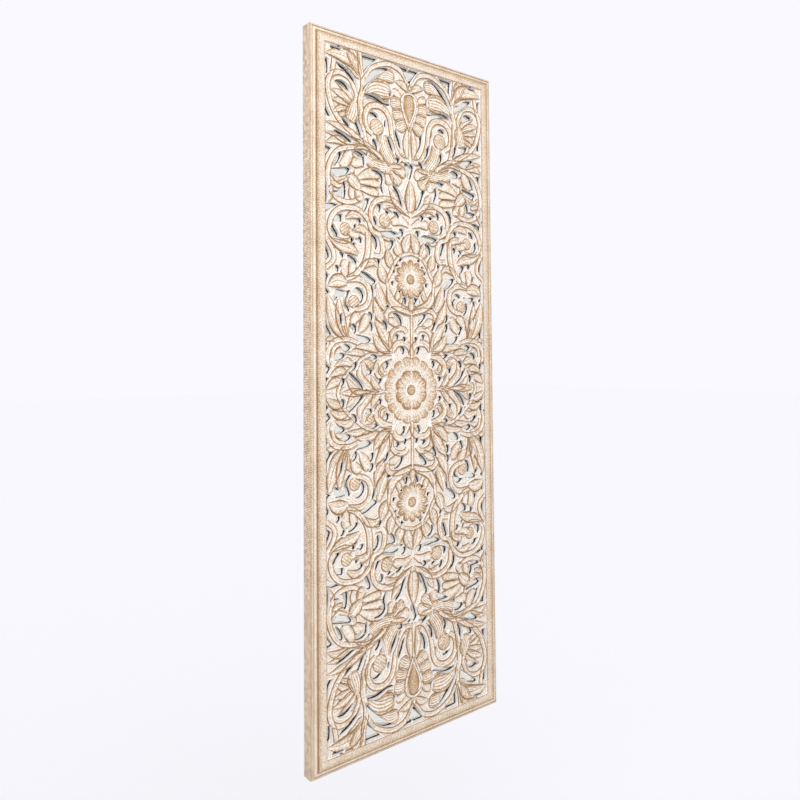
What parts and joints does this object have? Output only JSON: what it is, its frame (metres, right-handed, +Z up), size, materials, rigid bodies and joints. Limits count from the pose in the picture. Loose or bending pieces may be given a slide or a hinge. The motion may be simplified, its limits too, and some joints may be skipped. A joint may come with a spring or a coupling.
{
  "type": "carved mirror panel",
  "caption": "Tall rectangular wall mirror behind a pierced, carved scroll-and-leaf panel in a narrow stepped frame.",
  "frame": {"origin": "middle of the top rail's back face, where the panel meets the wall, 10 mm below its top edge", "axes": "+X to the viewer's right, +Y into the wall, +Z up; the carved face looks along -Y"},
  "size_m": [0.6096, 0.0381, 1.8034],
  "materials": {
    "whitewashed_wood": "matte whitewash, rubbed through on the ridges",
    "silvered_mirror": "polished",
    "plain_back_board": "raw board",
    "zinc_plated_steel": "satin"
  },
  "bodies": {
    "root": {"carved_panel": "whitewashed_wood", "frame_left": "whitewashed_wood", "frame_right": "whitewashed_wood", "frame_top": "whitewashed_wood", "frame_bottom": "whitewashed_wood", "mirror_glass": "silvered_mirror", "backing_board": "plain_back_board", "hanger_left": "zinc_plated_steel", "hanger_right": "zinc_plated_steel"}
  },
  "joints": []
}
